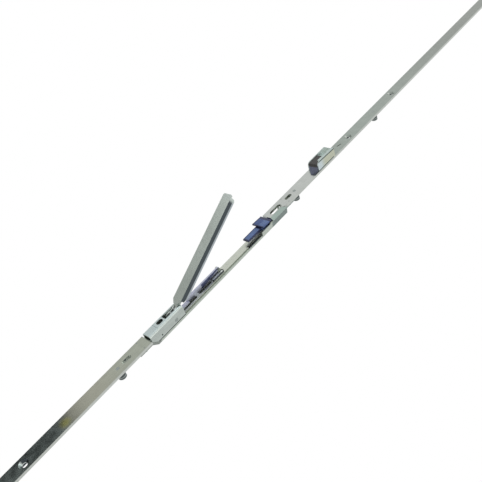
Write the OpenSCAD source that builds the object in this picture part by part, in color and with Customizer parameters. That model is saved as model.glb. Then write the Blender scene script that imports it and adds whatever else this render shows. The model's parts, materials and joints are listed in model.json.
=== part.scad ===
// Lever-driven cremone bolt for the fixed leaf of a double window.
// X is the width, Y points into the sash, Z runs up the strip. Pieces are drawn with the visible face of the
// strip at y = 0; placed() then moves the back of the strip there.

/* [Faceplates] */
// Width of the faceplate strip
plate_w = 16; // [14:0.5:24]
// Thickness of the faceplate strip
plate_t = 3; // [2:0.1:4]
// Height of the lower end of the strip
lower_end = -380; // [-420:1:-365]
// Height of the upper end of the strip
upper_end = 700; // [680:1:900]
// Height of the fixing holes above and below the origin
hole_z = 320; // [316:1:326]
// Height of the middle fixing hole
middle_hole_z = 207; // [200:1:214]
// Radius of a fixing hole
hole_r = 2.6; // [2:0.1:3]
// Radius of the countersink at the face
sink_r = 4.8; // [4:0.1:5.5]

/* [Gear tray] */
// Width of the recessed tray and of the housing
tray_w = 12.6; // [12.6:0.1:15]
// Sheet thickness of the tray and of the housing
sheet = 1.5; // [1.2:0.1:1.6]
// Depth of the underside of the tray
tray_depth = 11; // [11:0.1:14]
// Height of the lower end of the tray floor
tray_low = -162; // [-166:1:-160]
// Height of the upper end of the tray
tray_high = 58; // [57:1:60]

/* [Lever] */
// Opening angle of the lever as drawn
lever_open = 27; // [20:1:35]
// Height of the lever pivot
pivot_z = -133; // [-134:0.5:-132]
// Depth of the lever pivot
pivot_y = 4.5; // [4.2:0.1:4.8]
// Distance from the pivot to the tip of the lever
lever_len = 140.6; // [130:0.1:142]
// Width of the lever
lever_w = 12; // [12:0.1:14]
// Depth of the lever's side flanges
lever_depth = 8; // [6:0.1:8.1]
// Distance from the pivot to the crank pin
crank_r = 6; // [5.5:0.1:6.2]
// Angle of the crank ahead of the lever
crank_angle = 25; // [20:1:30]

/* [Drive] */
// Thickness of the flat bars and rods
bar_t = 2.4; // [2:0.1:2.6]
// Width of the two rods
rod_w = 8; // [7:0.1:9]
// Radius of the two end bolts
bolt_r = 3.5; // [3:0.1:4]
// Bolt length past the end of the strip as drawn
bolt_out = 11; // [10:0.5:16]
// Travel of the bars from the drawn place to the locked place
travel_lock = 2.6; // [2.4:0.1:3]
// Travel of the bars from the drawn place to the drawn-back place
travel_back = 7.9; // [7.7:0.1:8.2]

/* [Keep and catch] */
// Height of the keep bracket's lower end
keep_z = 128; // [120:1:135]
// Length of the keep bracket
keep_len = 36; // [30:1:40]
// Height of the keep's left wall above the face, at its lower end
keep_left = 9.5; // [8:0.1:11]
// Height of the keep's right wall above the face, at its lower end
keep_right = 12.5; // [11:0.1:15]
// Drop of the right wall towards its upper end
keep_drop = 1.4; // [0:0.1:5]
// Width of the lip that is folded in at the top of the right wall
keep_lip = 3.7; // [2:0.1:5]
// Width of the catch's finger pad
pad_w = 16; // [12:0.5:18]

/* [Hidden] */
$fn = 48;
// Gap between sliding flat faces and radial gap of pins in their holes
slide_gap = 0.1;
pin_gap = 0.05;
// Cutters pass this far beyond the faces that they cut
over = 1;

wall_out = tray_w / 2;
wall_in = wall_out - sheet;
floor_y = tray_depth - sheet;
rim_y = floor_y - 1;
rim_low = tray_low + 2;
bar_side_gap = 0.3;
bar_hw = wall_in - bar_side_gap;
deep_y = floor_y - slide_gap - bar_t;
shallow_y = plate_t + slide_gap;
head_y = shallow_y + bar_t + slide_gap;

stud_shank_r = 2;
stud_head_r = 4.4;
stud_end = 13;
stud_lower_z = -208;
stud_middle_z = 85;
stud_upper_z = 271;

house_low = -167;
house_high = -120.5;
house_top = -4.5;
window_hw = 3.2;
window_back = 9;
peep_low = 2.5;
peep_high = 1.5;
peep_r = 2.6;
wall_hole_y = plate_t + 2;
wall_hole_r = 0.9;
groove_z = -155;
groove_t = 0.7;
groove_deep = 0.35;
ear_cut_y = plate_t + 0.2;
ear_cut_z = 0.3;
foot_step = 0.6;
foot_h = 0.8;
neck_hw = 2.8;
top_y = -5.7;
neck_y = -4.4;
hub_floor_gap = 1;
hub_r = floor_y - hub_floor_gap - pivot_y;
lobe_gap = 1.4;
lobe_r = window_back - lobe_gap;
lobe_angle = 14;
crank_eye_r = 2.6;
neck_low = -1;
neck_lap = 4;
neck_web_z = 13;
neck_web_t = 1.2;
gusset_gap = 1.5;
gusset_z = house_high - pivot_z + gusset_gap;
lever_pin_r = 2;
crank_pin_r = 1.2;
blade_gap = 6;
blade_start = house_high - pivot_z + blade_gap;
blade_nose = 2;
flange_root = 4.4;
flange_slope = 6;
flange_tip = 2;
flange_end = lever_len - 3;
crank_pos = [-crank_r * sin(crank_angle), crank_r * cos(crank_angle)];
crank_z = pivot_z + crank_r * cos(crank_angle + lever_open);

pinion_z = -154;
pinion_teeth = 8;
gear_module = 0.6;
pressure = 25;
pinion_r = gear_module * pinion_teeth / 2;
tooth_pitch = PI * gear_module;
backlash = 0.12;
tooth_root = 0.6;
tooth_tip = 0.55;
axle_r = 1;
axle_head = 0.5;
axle_head_t = 0.9;

lug_z = -58;
lug_y = 2.4;
yoke_hw = 1.2;
yoke_side_gap = 0.2;
cheek_in = yoke_hw + yoke_side_gap;
lug_hl = 4.5;
lug_rise = 1.7;
yoke_play = 0.55;
yoke_shift = -0.4;
yoke_prong = 2;
fork_top = -3.2;
// The arm stands left of the bar's slots and rises past the end of the lever's neck.
arm_out = 2.9;
arm_lap = 0.2;
arm_in = yoke_hw - arm_lap;
arm_eye_r = 1.8;
arm_top = lug_y - arm_eye_r;
arm_low_top = 4;
arm_low_gap = 4;
arm_rise_gap = 12.5;
arm_low = house_high + arm_low_gap;
arm_rise = house_high + arm_rise_gap;
lug_in = arm_out + slide_gap;
lug_out = 4.2;
yoke_pin_r = 1;
yoke_head_r = 1.6;
yoke_head_t = 0.6;

lap_upper_z = 72.5;
lap_lower_z = -196;
lap_half = 5;
lap_root = 0.5;
slot_side_gap = 0.3;
slot_end_gap = 0.4;
lap_slot_half = 5.5;
lap_slot_r = 2.3;
guide_len = 20;
bolt_y = shallow_y + bar_t + 1.5;
bolt_lap = 22;
bolt_rivet_sunk = 0.3;
nose_step = 0.2;
guide_hw = 6.2;
guide_end_gap = 2;

ear_len = 16;
ear_hw = plate_w / 2 - 0.4;
ear_t = 1.4;
ear_lap = 2;
ear_low_len = 18;
ear_rivet_drop = 10;
ear_low_end = house_low - ear_low_len;
ear_rivet_low_z = house_low - ear_rivet_drop;
rivet_r = 1.2;
ear_rivet_r = 0.7;
ear_head = 0.4;
ear_head_t = 0.8;
ear_rivet_x = (wall_in + ear_hw) / 2;

guide_rivet_x = (guide_hw + bolt_r) / 2;
guide_rivet_r = 0.8;
guide_wall = 1.6;
rack_root = 0.75;
rack_tip = 0.4;
rack_end = 5.5;
rack_blade_gap = 4;

bar_end = 41;
neck_x = -1;
bar_lap = 1;
joggle_low = 46.5;
joggle_high = 54;
joggle_lean = 0.5;
slot_a = [0.4, -115, -97, 1.6];
slot_b = [0.2, -93, -73, 1.7];
notch_x = 2.2;
notch_low = -13.3;
notch_high = 9;
notch_slope = 3;
boss_x = 2.7;
boss_low = -72.5;
boss_high = -54.5;
boss_r = 1.5;
boss_h = 1.8;
boss_rim = 0.5;
boss_deep = 0.5;

catch_z = 34;
catch_pin_r = 0.9;
eye_gap = 0.2;
eye_bar_gap = 0.4;
eye_wall = (deep_y - eye_bar_gap - plate_t - eye_gap) / 2 - catch_pin_r;
catch_y = plate_t + eye_gap + eye_wall + catch_pin_r;
tongue_hw = 4;
tongue_tip = -10;
tongue_y = 0.5;
tongue_t = 2.2;
pad_low = 13;
pad_high = 29;
pad_y = -1.5;
pad_rise = 0.8;
pad_t = 1.7;
pad_stem = 1.5;
eye_end = 3;
plate_low = 32;
tall_low = 10;
facet_x = 3.6;
facet_z = 53;
facet_end = 59.6;
slit_x = -0.5;
slit_z = 186;
slit_half = 3.6;
slit_r = 0.6;
slit_turn = 18;
plate_slot_gap = 6;
plate_slot_r = 3.2;
plate_tongue = 9;
house_gap = 1;

keep_t = 1.2;
keep_corner = 5;
keep_rivet_r = 1.5;
keep_rivet_edge = 4;
keep_head = 0.9;
keep_head_t = 0.9;
keep_left_len = 49;
keep_left_top = 37;
insert_len = 19;
insert_top = -9;
nose_len = 9;
nose_x = 2.2;
nose_hw = 0.8;
nose_t = 0.6;

zinc = "#aab2ad";
bright_zinc = "#c3c9c6";
lilac = "#b9bccb";
dark_steel = "#6d7478";
blue = "#3d5390";
black = "#33332f";

// Extrudes an outline drawn in x and z from depth y0 to depth y1.
module plan(y0, y1) {
    translate([0, y1, 0]) rotate([90, 0, 0]) linear_extrude(y1 - y0) children();
}

// Extrudes an outline drawn in y and z from x0 to x1.
module side(x0, x1) {
    translate([x0, 0, 0]) rotate([90, 0, 90]) linear_extrude(x1 - x0) children();
}

// Draws the children on both sides of the middle plane.
module both() {
    children();
    mirror([1, 0, 0]) children();
}

// Cylinder along y from depth y0 to depth y1.
module post(x, z, r, y0, y1) {
    translate([x, y0, z]) rotate([-90, 0, 0]) cylinder(h = y1 - y0, r = r);
}

// Cylinder along x, centred on the middle plane.
module cross_pin(y, z, r, half) {
    translate([-half, y, z]) rotate([0, 90, 0]) cylinder(h = 2 * half, r = r);
}

// Flat rectangle from (x0, z0) to (x1, z1).
module rect(x0, z0, x1, z1) {
    translate([x0, z0]) square([x1 - x0, z1 - z0]);
}

// Slot outline with round ends, r either side of the middle line.
module slot(x, z0, z1, r) {
    rect(x - r, z0 + r, x + r, z1 - r);
    translate([x, z0 + r]) circle(r);
    translate([x, z1 - r]) circle(r);
}

module fixing_hole(z) {
    post(0, z, hole_r, -over, plate_t + over);
    translate([0, 0, z]) rotate([-90, 0, 0]) cylinder(h = sink_r - hole_r, r1 = sink_r, r2 = hole_r);
}

module lower_faceplate() {
    color(zinc) difference() {
        plan(0, plate_t) difference() {
            union() {
                rect(-plate_w / 2, lower_end, plate_w / 2, house_low - house_gap);
                rect(-bar_hw, house_low - house_gap - over, bar_hw, house_low + plate_tongue);
            }
            slot(0, lap_lower_z - lap_slot_half, lap_lower_z + lap_slot_half, lap_slot_r);
        }
        fixing_hole(-hole_z);
        post(0, stud_lower_z, stud_shank_r + pin_gap, -over, plate_t + over);
        both() post(ear_rivet_x, ear_rivet_low_z, ear_rivet_r + pin_gap, -over, plate_t + over);
        guide_rivet_holes(lower_end + guide_end_gap + guide_len / 2);
    }
}

module upper_faceplate() {
    color(zinc) difference() {
        plan(0, plate_t) difference() {
            rect(-plate_w / 2, plate_low, plate_w / 2, upper_end);
            slot(0, plate_low + plate_slot_gap, tray_high - 1, plate_slot_r);
            slot(0, lap_upper_z - lap_slot_half, lap_upper_z + lap_slot_half, lap_slot_r);
            translate([slit_x, slit_z]) rotate(-slit_turn) slot(0, -slit_half, slit_half, slit_r);
        }
        plate_facet();
        fixing_hole(middle_hole_z);
        fixing_hole(hole_z);
        post(0, stud_middle_z, stud_shank_r + pin_gap, -over, plate_t + over);
        post(0, stud_upper_z, stud_shank_r + pin_gap, -over, plate_t + over);
        both() post(ear_rivet_x, tray_high + ear_len / 2, ear_rivet_r + pin_gap, -over, plate_t + over);
        guide_rivet_holes(upper_end - guide_end_gap - guide_len / 2);
        for (z = keep_rivet_z()) post(0, z, keep_rivet_r + pin_gap, -over, plate_t + over);
    }
}

// Slope on the right edge of the strip beside the catch, from its face down to its back.
module plate_facet() {
    edge = plate_w / 2;
    rise = plate_t / (edge - facet_x);
    intersection() {
        translate([0, 0, plate_low - over]) linear_extrude(facet_end - plate_low + over) polygon([
            [facet_x - over, -over * rise], [edge + over, plate_t + over * rise], [edge + over, -over * rise]]);
        plan(-over, plate_t + over) polygon([[facet_x - over, plate_low - over], [facet_x - over, facet_z],
            [facet_x, facet_z], [edge, facet_end], [edge + over, facet_end], [edge + over, plate_low - over]]);
    }
}

// Sheet tray: floor, low rims, a tall wall by the catch and riveted ears at both ends.
module tray() {
    color(bright_zinc) difference() {
        union() {
            plan(floor_y, tray_depth) rect(-wall_out, tray_low, wall_out, tray_high);
            both() side(wall_in, wall_out) {
                rect(rim_y, rim_low, floor_y + sheet / 2, tray_high);
                lower_ear_outline();
            }
            both() plan(plate_t, plate_t + ear_t) rect(wall_in, ear_low_end, ear_hw, house_low - 2);
            both() plan(plate_t, plate_t + ear_t) rect(wall_in, tray_high - 2, ear_hw, tray_high + ear_len);
            translate([0, 0, tall_low]) linear_extrude(tray_high - tall_low) polygon([
                [plate_w / 2 - sheet, plate_t], [plate_w / 2, plate_t], [wall_out, tray_depth],
                [wall_in, tray_depth]]);
            side(-wall_out, -wall_in) rect(plate_t, plate_low, floor_y + sheet / 2, plate_low + 5);
            side(-wall_out, -wall_in) rect(plate_t, tray_high - 2, floor_y + sheet / 2, tray_high);
        }
        post(0, pinion_z, axle_r + pin_gap, 0, tray_depth + over);
        both() post(ear_rivet_x, ear_rivet_low_z, ear_rivet_r + pin_gap, 0, tray_depth);
        both() post(ear_rivet_x, tray_high + ear_len / 2, ear_rivet_r + pin_gap, 0, tray_depth);
        cross_pin(catch_y, catch_z, catch_pin_r + pin_gap, plate_w);
    }
}

module lower_ear_outline() {
    polygon([[tray_depth, tray_low], [tray_depth, rim_low + ear_lap], [rim_y, rim_low + ear_lap],
        [rim_y, rim_low], [plate_t, house_low - house_gap / 2], [plate_t, ear_low_end],
        [plate_t + ear_t, ear_low_end], [plate_t + ear_t, house_low - 3 * house_gap]]);
}

// Folded housing that stands on the rims of the tray.
module housing() {
    color(bright_zinc) difference() {
        translate([0, 0, house_low]) linear_extrude(house_high - house_low) housing_section();
        side(-tray_w, tray_w) polygon([[rim_y + over, house_low - over], [rim_y + over, rim_low],
            [rim_y, rim_low], [ear_cut_y, house_low + ear_cut_z], [ear_cut_y, house_low - over]]);
        plan(house_top - over, plate_t) rect(-window_hw, pivot_z - window_back, window_hw, house_high + over);
        plan(house_top - over, 0) slot(0, pinion_z + peep_low, pivot_z - window_back - peep_high, peep_r);
        plan(house_top - over, house_top + groove_deep) rect(-tray_w, groove_z, tray_w, groove_z + groove_t);
        cross_pin(pivot_y, pivot_z, lever_pin_r + pin_gap, tray_w);
        both() translate([0, 0, house_low - over]) linear_extrude(house_high - house_low + 2 * over)
            rect(wall_out - foot_step, rim_y - foot_h, wall_out + over, rim_y + over);
        wall_hole();
    }
}

// Small hole through the right wall.
module wall_hole() {
    side(wall_in - over, wall_out + over) translate([wall_hole_y, pinion_z]) circle(wall_hole_r);
}

// Arch outline in x and y with its top at the given depth and round corners.
module arch(half, top, corner) {
    rect(-half, top + corner, half, rim_y + over);
    rect(corner - half, top, half - corner, rim_y);
    for (x = [corner - half, half - corner]) translate([x, top + corner]) circle(corner);
}

module housing_section() {
    bend = 3;
    difference() {
        intersection() {
            arch(wall_out, house_top, bend);
            rect(-tray_w, house_top - over, tray_w, rim_y);
        }
        arch(wall_in, house_top + sheet, bend - sheet);
    }
}

// Stub pins in the housing's walls, clear of the yoke that passes between them.
module lever_pins() {
    color(dark_steel) both() side(cheek_in, wall_out) translate([pivot_y, pivot_z]) circle(lever_pin_r);
}

// Turns the children, drawn round the pivot with the lever shut, to the drawn opening angle.
module lever_place() {
    translate([0, pivot_y, pivot_z]) rotate([lever_open, 0, 0]) children();
}

module lever() {
    color(zinc) lever_place() difference() {
        union() {
            both() side(cheek_in, neck_hw) {
                circle(hub_r);
                hub_lobe();
                translate(crank_pos) circle(crank_eye_r);
                rect(neck_y, 0, neck_low, blade_start + neck_lap);
                rect(top_y, blade_start, neck_low, blade_start + neck_lap);
            }
            plan(neck_y, neck_y + neck_web_t) rect(-neck_hw, neck_web_z, neck_hw, blade_start + neck_lap);
            plan(top_y, top_y + sheet) blade_outline();
            both() side(lever_w / 2 - sheet, lever_w / 2) flange_outline();
        }
        cross_pin(0, 0, lever_pin_r + pin_gap, lever_w);
        cross_pin(crank_pos.x, crank_pos.y, crank_pin_r + pin_gap, lever_w);
    }
}

// Sector on the front of the hub that fills the housing's window and clears the tray at full opening.
module hub_lobe() {
    reach = 2 * lobe_r;
    intersection() {
        circle(lobe_r);
        polygon([[0, 0], [0, reach], [-reach, reach], [-reach, -reach * tan(lobe_angle)]]);
    }
}

// Blade with a round nose, tapered to the width of the neck at its root.
module blade_outline() {
    half = lever_w / 2;
    inset = half - blade_nose;
    polygon([[-neck_hw, gusset_z], [neck_hw, gusset_z], [half, blade_start], [half, lever_len - blade_nose],
        [-half, lever_len - blade_nose], [-half, blade_start]]);
    rect(-inset, lever_len - blade_nose - over, inset, lever_len);
    for (x = [-inset, inset]) translate([x, lever_len - blade_nose]) circle(blade_nose);
}

module flange_outline() {
    deep = top_y + lever_depth;
    polygon([[top_y, blade_start], [top_y + flange_root, blade_start], [deep, blade_start + flange_slope],
        [deep, flange_end - flange_tip], [deep - flange_tip, flange_end], [top_y, flange_end]]);
}

module crank_pin() {
    color(dark_steel) lever_place() cross_pin(crank_pos.x, crank_pos.y, crank_pin_r, neck_hw);
}

// Plate between the neck cheeks that the crank pin moves along the strip; its fork is open towards the face.
// Its arm steps to the left of the middle and ends in an eye beside the lug of the bar.
module yoke_arm() {
    fork_z = crank_z + yoke_shift;
    slot_hw = crank_pin_r + yoke_play;
    fork_bottom = pivot_y - crank_r * sin(crank_angle) + crank_pin_r + yoke_play;
    fork_deep = fork_bottom + yoke_prong;
    color(lilac) {
        side(-yoke_hw, yoke_hw) difference() {
            union() {
                rect(fork_top, fork_z - slot_hw - yoke_prong, fork_deep, fork_z + slot_hw + yoke_prong);
                rect(arm_low_top, fork_z, fork_deep, arm_rise);
            }
            slot_open(fork_z, slot_hw, fork_bottom);
        }
        side(-arm_out, -arm_in) difference() {
            union() {
                polygon([[arm_low_top, arm_low], [deep_y, arm_low], [deep_y, lug_z - lug_hl],
                    [lug_y + arm_eye_r, lug_z], [arm_top, lug_z], [arm_top, arm_rise],
                    [arm_low_top, arm_rise - over]]);
                translate([lug_y, lug_z]) circle(arm_eye_r);
            }
            translate([lug_y, lug_z]) circle(yoke_pin_r + pin_gap);
        }
    }
}

module slot_open(z, half, bottom) {
    rect(house_top - over, z - half, bottom - half, z + half);
    translate([bottom - half, z]) circle(half);
}

// Pin of the yoke's eye, with its head on the right face of the arm.
module yoke_pin() {
    color(bright_zinc) {
        side(-lug_out, yoke_head_t / 2 - arm_in) translate([lug_y, lug_z]) circle(yoke_pin_r);
        side(-arm_in, yoke_head_t - arm_in) translate([lug_y, lug_z]) circle(yoke_head_r);
    }
}

// Row of rack teeth along z with a tooth gap at z = 0, pointing to -x from the pitch line at x = 0.
module rack_teeth(first, last) {
    tip = rack_tip;
    root = rack_root;
    half = tooth_pitch / 4 - backlash;
    for (i = [first : last]) translate([0, (i + 0.5) * tooth_pitch]) polygon([
        [root, -half - root * tan(pressure)], [-tip, -half + tip * tan(pressure)],
        [-tip, half - tip * tan(pressure)], [root, half + root * tan(pressure)]]);
}

// Bar in the tray: rack leg, slotted blade with the lug, and a neck that rises behind the upper faceplate.
module upper_bar() {
    blade_low = pivot_z + hub_r + travel_back + 2 * over;
    color(bright_zinc) difference() {
        union() {
            plan(deep_y, deep_y + bar_t) difference() {
                union() {
                    rect(-bar_hw, blade_low, bar_hw, bar_end);
                    rect(-bar_hw, pinion_z - rack_end, -pinion_r - rack_root, blade_low + over);
                    translate([-pinion_r, pinion_z]) mirror([1, 0]) rack_teeth(-3, 5);
                }
                for (s = [slot_a, slot_b]) slot(s[0], s[1], s[2], s[3]);
                polygon([[notch_x, notch_low], [bar_hw + over, notch_low], [bar_hw + over, notch_high],
                    [notch_x + notch_slope / 2, notch_high], [notch_x, notch_high - notch_slope]]);
            }
            side(neck_x, bar_hw) polygon([[deep_y, bar_end - bar_lap], [deep_y + bar_t, bar_end - bar_lap],
                [deep_y + bar_t, joggle_low + joggle_lean], [shallow_y + bar_t, joggle_high + joggle_lean],
                [shallow_y + bar_t, lap_upper_z - lap_half], [shallow_y, lap_upper_z - lap_half],
                [shallow_y, joggle_high - joggle_lean], [deep_y, joggle_low - joggle_lean]]);
            lap_tongue(shallow_y, lap_upper_z, neck_x, bar_hw);
            plan(lug_y - lug_rise, deep_y + over) rect(-lug_out, lug_z - lug_hl, -lug_in, lug_z + lug_hl);
            plan(deep_y - boss_h, deep_y + over) slot(boss_x, boss_low, boss_high, boss_r);
        }
        plan(deep_y - boss_h - over, deep_y - boss_h + boss_deep)
            slot(boss_x, boss_low + boss_rim, boss_high - boss_rim, boss_r - boss_rim);
        cross_pin(lug_y, lug_z, yoke_pin_r + pin_gap, tray_w);
        post(bar_hw / 2, lap_upper_z, rivet_r + pin_gap, 0, tray_depth);
    }
}

// Half-thickness tongue of a lap joint round height z.
module lap_tongue(y, z, x0, x1) {
    plan(y, y + bar_t / 2) rect(x0, z - lap_half - lap_root, x1, z + lap_half - slide_gap);
}

// Rod behind a faceplate: half-lap at one end, bolt seat at the other, slots round studs and screws.
module upper_rod() {
    color(zinc) difference() {
        union() {
            plan(shallow_y, shallow_y + bar_t)
                rect(-rod_w / 2, lap_upper_z + lap_half, rod_w / 2, upper_bolt_low() + bolt_lap);
            plan(shallow_y + bar_t / 2, shallow_y + bar_t) rect(-rod_w / 2,
                lap_upper_z - lap_half + slide_gap, rod_w / 2, lap_upper_z + lap_half + lap_root);
        }
        for (z = [stud_middle_z, stud_upper_z]) plan(0, tray_depth) rod_slot(z, stud_shank_r, 1);
        for (z = [middle_hole_z, hole_z]) plan(0, tray_depth) rod_slot(z, hole_r, 1);
        post(bar_hw / 2, lap_upper_z, rivet_r + pin_gap, 0, tray_depth);
        post(0, upper_bolt_low() + bolt_lap / 2, rivet_r + pin_gap, 0, tray_depth);
    }
}

// Slot that clears a post of radius r over the rod's whole travel; way is 1 for the rod that locks upwards.
module rod_slot(z, r, way) {
    clear = r + slot_side_gap;
    ahead = way > 0 ? travel_back : travel_lock;
    behind = way > 0 ? travel_lock : travel_back;
    slot(0, z - behind - clear - slot_end_gap, z + ahead + clear + slot_end_gap, clear);
}

module upper_lap_rivet() {
    color(dark_steel) post(bar_hw / 2, lap_upper_z, rivet_r, shallow_y, shallow_y + bar_t);
}

function upper_bolt_low() = upper_end - guide_end_gap - guide_len - bolt_lap - travel_lock - 1;
function lower_bolt_high() = lower_end + guide_end_gap + guide_len + bolt_lap + travel_lock + 1;

// Round bolt from z = 0, lapped onto the rod over its first stretch, with a chamfered tip.
module end_bolt(length) {
    tip = 1;
    nose_r = bolt_r - nose_step;
    color(bright_zinc) difference() {
        translate([0, bolt_y, 0]) {
            cylinder(h = length - bolt_out, r = bolt_r);
            cylinder(h = length - tip, r = nose_r);
            translate([0, 0, length - tip]) cylinder(h = tip, r1 = nose_r, r2 = nose_r - tip);
        }
        translate([0, 0, -over]) linear_extrude(bolt_lap + over + slide_gap)
            rect(-bolt_r - over, -over, bolt_r + over, shallow_y + bar_t);
        post(0, bolt_lap / 2, rivet_r + pin_gap, 0, bolt_y + bolt_r + over);
    }
}

module upper_bolt() {
    translate([0, 0, upper_bolt_low()]) end_bolt(upper_end + bolt_out - upper_bolt_low());
}

module lower_bolt() {
    translate([0, 0, lower_bolt_high()]) mirror([0, 0, 1]) end_bolt(lower_bolt_high() - lower_end + bolt_out);
}

module bolt_rivet(z) {
    color(dark_steel) post(0, z, rivet_r, shallow_y, bolt_y + bolt_r - bolt_rivet_sunk);
}

module upper_bolt_rivet() bolt_rivet(upper_bolt_low() + bolt_lap / 2);

module lower_bolt_rivet() bolt_rivet(lower_bolt_high() - bolt_lap / 2);

// Guide block behind the faceplate with a running bore for the bolt.
module end_guide(z) {
    color(dark_steel) difference() {
        translate([-guide_hw, plate_t, z])
            cube([2 * guide_hw, bolt_y + bolt_r + guide_wall - plate_t, guide_len]);
        translate([0, bolt_y, z - over]) cylinder(h = guide_len + 2 * over, r = bolt_r + slide_gap);
        guide_rivet_holes(z + guide_len / 2);
    }
}

module upper_guide() end_guide(upper_end - guide_end_gap - guide_len);

module lower_guide() end_guide(lower_end + guide_end_gap);

module guide_rivet_holes(z) {
    both() post(guide_rivet_x, z, guide_rivet_r + pin_gap, -over, bolt_y + bolt_r + guide_wall + over);
}

module guide_rivets(z) {
    color(bright_zinc) both() post(guide_rivet_x, z, guide_rivet_r, 0, bolt_y + bolt_r + guide_wall);
}

module upper_guide_rivets() guide_rivets(upper_end - guide_end_gap - guide_len / 2);

module lower_guide_rivets() guide_rivets(lower_end + guide_end_gap + guide_len / 2);

// Bar behind the lower faceplate with a rack leg on the other side of the pinion.
module lower_bar() {
    blade_high = pinion_z - travel_back - rack_blade_gap;
    color(bright_zinc) difference() {
        union() {
            plan(shallow_y, shallow_y + bar_t) {
                rect(-bar_hw, lap_lower_z + lap_half, bar_hw, blade_high);
                rect(pinion_r + rack_root, blade_high - over, bar_hw, pinion_z + rack_end - over);
                translate([pinion_r, pinion_z]) rack_teeth(-6, 1);
            }
            mirror([0, 0, 1]) lap_tongue(shallow_y, -lap_lower_z, -bar_hw, bar_hw);
        }
        post(0, lap_lower_z, rivet_r + pin_gap, 0, tray_depth);
    }
}

module lower_rod() {
    color(zinc) difference() {
        union() {
            plan(shallow_y, shallow_y + bar_t)
                rect(-rod_w / 2, lower_bolt_high() - bolt_lap, rod_w / 2, lap_lower_z - lap_half);
            plan(shallow_y + bar_t / 2, shallow_y + bar_t) rect(-rod_w / 2,
                lap_lower_z - lap_half - lap_root, rod_w / 2, lap_lower_z + lap_half - slide_gap);
        }
        plan(0, tray_depth) rod_slot(stud_lower_z, stud_shank_r, -1);
        plan(0, tray_depth) rod_slot(-hole_z, hole_r, -1);
        post(0, lap_lower_z, rivet_r + pin_gap, 0, tray_depth);
        post(0, lower_bolt_high() - bolt_lap / 2, rivet_r + pin_gap, 0, tray_depth);
    }
}

module lower_lap_rivet() {
    color(dark_steel) post(0, lap_lower_z, rivet_r, shallow_y, shallow_y + bar_t);
}

// Involute point at radius r on the pinion, as an angle from the tooth's middle line.
function involute(r) = let (base = pinion_r * cos(pressure), a = acos(min(1, base / r))) tan(a) * 180 / PI - a;
function flank_angle(r) = 90 / pinion_teeth + involute(pinion_r) - involute(max(r, pinion_r * cos(pressure)))
    - backlash / pinion_r * 180 / PI;

module pinion_outline() {
    root = pinion_r - tooth_root;
    tip = pinion_r + tooth_tip;
    steps = 5;
    radii = [for (i = [0 : steps]) root + (tip - root) * i / steps];
    circle(root);
    for (t = [0 : pinion_teeth - 1]) rotate(t * 360 / pinion_teeth) polygon(concat(
        [[0, 0]],
        [for (r = radii) [r * cos(flank_angle(r)), -r * sin(flank_angle(r))]],
        [for (i = [steps : -1 : 0]) let (r = radii[i]) [r * cos(flank_angle(r)), r * sin(flank_angle(r))]]));
}

// Small pinion between the two racks: it makes the bars run opposite ways.
module reversing_pinion() {
    color(dark_steel) plan(shallow_y, deep_y + bar_t) translate([0, pinion_z]) difference() {
        pinion_outline();
        circle(axle_r + pin_gap);
    }
}

module pinion_axle() {
    color(bright_zinc) {
        post(0, pinion_z, axle_r, shallow_y - axle_head_t / 2, tray_depth);
        post(0, pinion_z, axle_r + axle_head, shallow_y - axle_head_t, shallow_y - slide_gap);
    }
}

// Shouldered stud, riveted flush in the faceplate, that holds the rod behind it.
module stud(z) {
    edge = 0.8;
    color(bright_zinc) {
        post(0, z, stud_shank_r, 0, head_y + over);
        post(0, z, stud_head_r, head_y, stud_end - edge);
        translate([0, stud_end - edge, z]) rotate([-90, 0, 0])
            cylinder(h = edge, r1 = stud_head_r, r2 = stud_head_r - edge);
    }
}

module lower_stud() stud(stud_lower_z);

module middle_stud() stud(stud_middle_z);

module upper_stud() stud(stud_upper_z);

module ear_rivets(z) {
    color(bright_zinc) both() {
        post(ear_rivet_x, z, ear_rivet_r, 0, plate_t + ear_t + ear_head_t / 2);
        post(ear_rivet_x, z, ear_rivet_r + ear_head, plate_t + ear_t, plate_t + ear_t + ear_head_t);
    }
}

module lower_ear_rivets() ear_rivets(ear_rivet_low_z);

module upper_ear_rivets() ear_rivets(tray_high + ear_len / 2);

function keep_rivet_z() = [keep_z + insert_len + keep_rivet_edge, keep_z + keep_len - keep_rivet_edge];

// U-shaped keep that stands on the face of the upper faceplate, with a lip folded in on its right wall.
module keep_bracket() {
    right = plate_w / 2;
    color(bright_zinc) difference() {
        union() {
            plan(-keep_t, 0) rect(-right, keep_z, right, keep_z + keep_len);
            side(right - keep_t, right) keep_wall(keep_right, keep_drop, keep_len, keep_len);
            side(-right, keep_t - right) keep_wall(keep_left, 0, keep_left_len, keep_left_top);
            side(right - keep_lip, right) difference() {
                keep_wall(keep_right, keep_drop, keep_len, keep_len);
                translate([keep_t, 0]) keep_wall(keep_right, keep_drop, keep_len + over, keep_len + over);
                rect(-keep_right - over, keep_z - over, over, keep_z + keep_corner);
            }
        }
        for (z = keep_rivet_z()) post(0, z, keep_rivet_r + pin_gap, -keep_right, over);
    }
}

// Wall outline of the given height and lengths, with a round lower corner and a top that drops towards its end.
module keep_wall(height, drop, length, top_length) {
    polygon(concat([[0, keep_z]],
        [for (a = [0 : 15 : 90]) [keep_corner - height - keep_corner * sin(a),
            keep_z + keep_corner - keep_corner * cos(a)]],
        [[drop - height, keep_z + top_length], [0, keep_z + length]]));
}

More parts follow.
